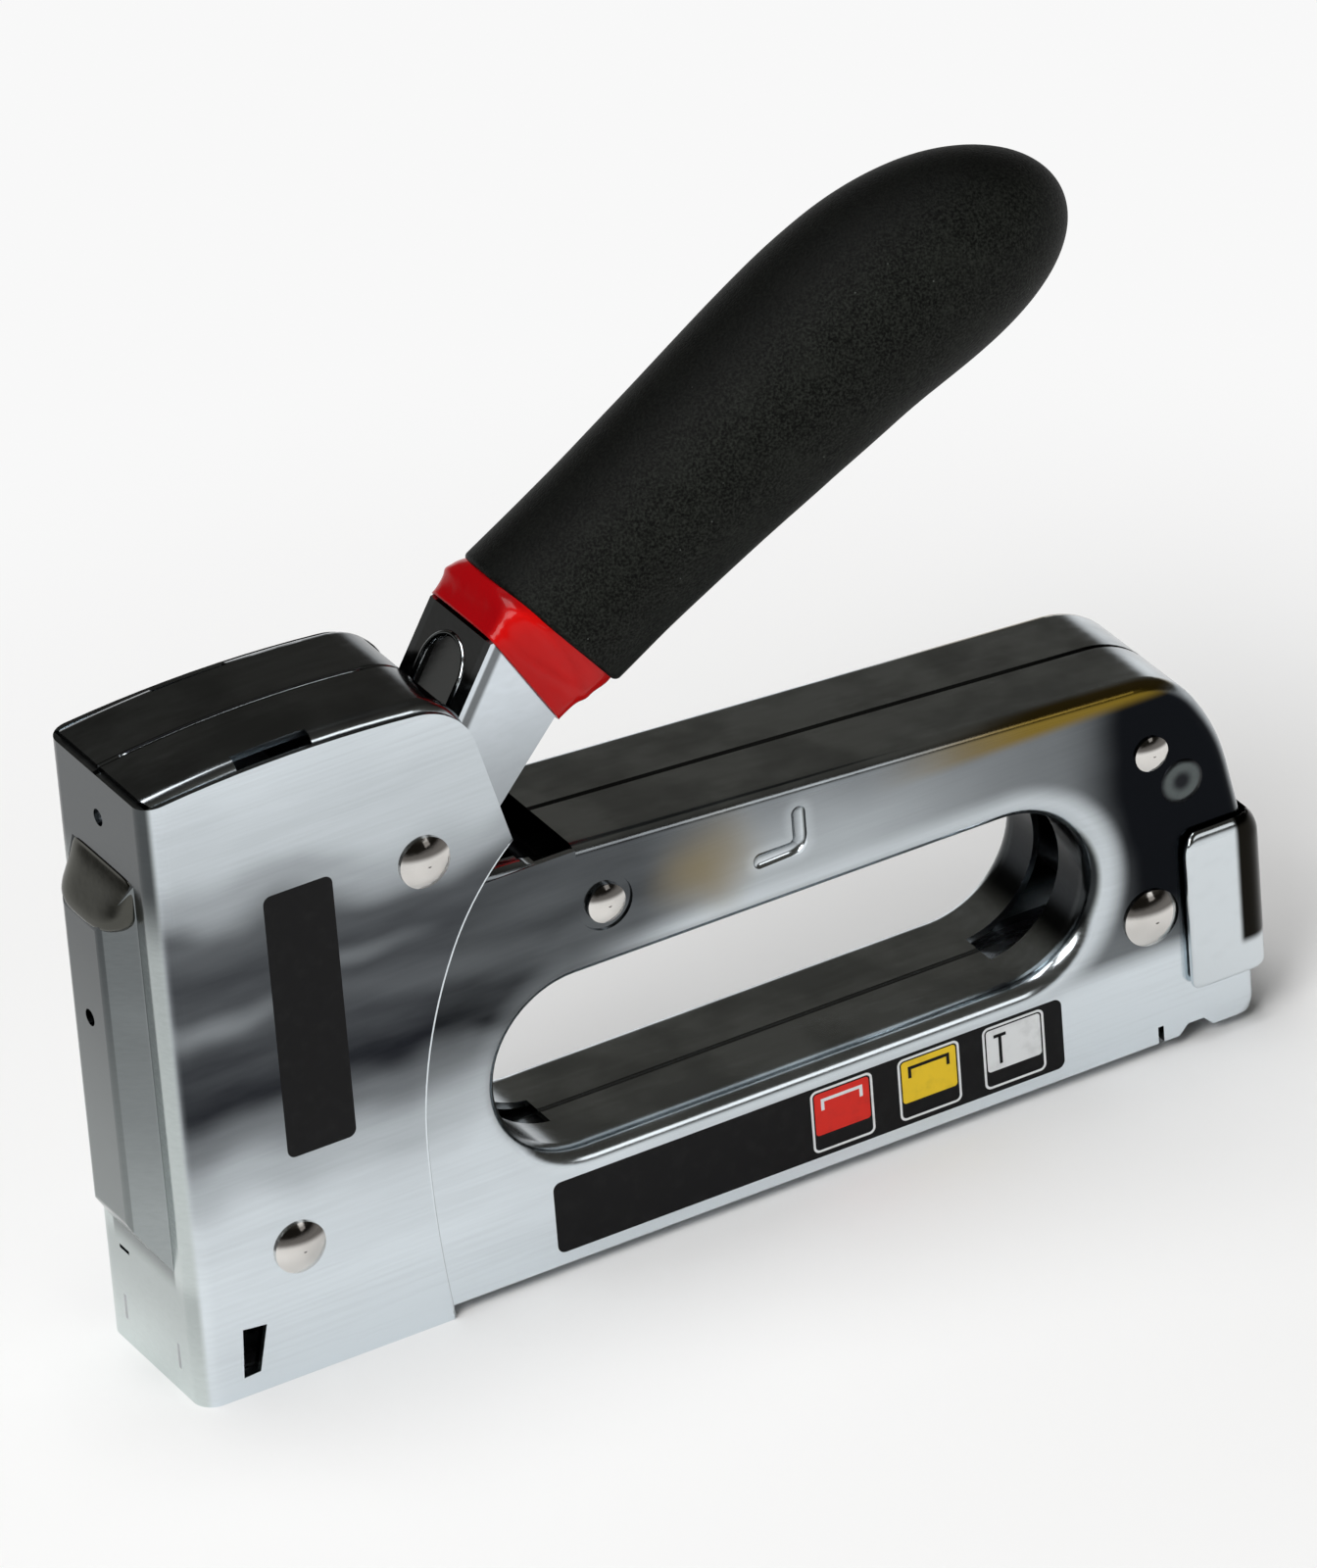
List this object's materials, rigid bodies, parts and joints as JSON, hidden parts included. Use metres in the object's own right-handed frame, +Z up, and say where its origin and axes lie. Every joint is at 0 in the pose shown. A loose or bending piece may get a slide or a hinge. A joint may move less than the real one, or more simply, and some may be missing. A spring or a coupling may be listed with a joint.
{
  "type": "staple gun",
  "caption": "Hand staple gun with a squeeze lever and foam grip, a sprung plunger with its driver blade, and a rear-loading slide-out magazine.",
  "frame": {"origin": "on the pressing face of the nose's foot, on the middle plane, at the back edge of the slot that the staple leaves by", "axes": "+Z up out of the workpiece, +X from the nose towards the rear, +Y to the right half shell"},
  "size_m": [0.1766, 0.0308, 0.1428],
  "materials": {
    "bright_plate": "bright nickel-chrome plate",
    "satin_plate": "satin nickel-chrome plate",
    "nickel_rivet": "polished nickel",
    "plain_steel": "ground steel",
    "zinc_steel": "zinc-plated steel",
    "spring_steel": "oiled spring steel",
    "bumper_rubber": "dull",
    "red_vinyl": "glossy dipped vinyl",
    "black_foam": "matt closed-cell foam"
  },
  "bodies": {
    "frame": {"shell_left": "bright_plate", "shell_right": "bright_plate", "nose_cover": "satin_plate", "nose_guide": "plain_steel", "nose_foot": "plain_steel", "pivot_rivet": "nickel_rivet", "nose_rivet": "nickel_rivet", "arm_rivet": "nickel_rivet", "heel_rivet": "nickel_rivet", "tail_rivet": "nickel_rivet", "nose_spacer": "plain_steel", "arm_spacer": "plain_steel", "heel_spacer": "plain_steel", "tail_spacer": "plain_steel", "pivot_washer_left": "plain_steel", "pivot_washer_right": "plain_steel", "bumper": "bumper_rubber", "spring_seat": "plain_steel", "power_spring": "spring_steel", "magazine_housing": "zinc_steel"},
    "lever": {"lever": "satin_plate", "lift_stud_left": "plain_steel", "lift_stud_right": "plain_steel", "pivot_bush": "plain_steel", "lever_return_spring": "spring_steel", "handle_sleeve": "red_vinyl", "handle_grip": "black_foam"},
    "plunger": {"plunger": "plain_steel", "driver_blade": "plain_steel", "blade_rivet_low": "plain_steel", "blade_rivet_high": "plain_steel"},
    "magazine": {"magazine_rail": "zinc_steel", "magazine_end_cap": "satin_plate", "pusher_rod": "plain_steel", "pusher_spring": "spring_steel"},
    "pusher": {"pusher": "plain_steel"}
  },
  "joints": [
    {"name": "lever_pivot", "type": "hinge", "parent": "frame", "child": "lever", "pos_m": [0.037, 0, 0.0726], "axis": [0, 1, 0], "range_deg": [0, 25], "stiffness_Nm_per_rad": 6, "springref_deg": -14.32},
    {"name": "plunger_slide", "type": "slide", "parent": "frame", "child": "plunger", "axis": [0, 0, 1], "range_m": [0, 0.0121], "deforming": ["power_spring"]},
    {"name": "magazine_slide", "type": "slide", "parent": "frame", "child": "magazine", "axis": [1, 0, 0], "range_m": [0, 0.1]},
    {"name": "pusher_slide", "type": "slide", "parent": "magazine", "child": "pusher", "axis": [1, 0, 0], "range_m": [0, 0.095], "stiffness_N_per_m": 60, "springref_m": -0.05, "deforming": ["pusher_spring"]}
  ],
  "couplings": [
    {"joint": "plunger_slide", "follows": "lever_pivot", "m_per_rad": 0.02744}
  ]
}
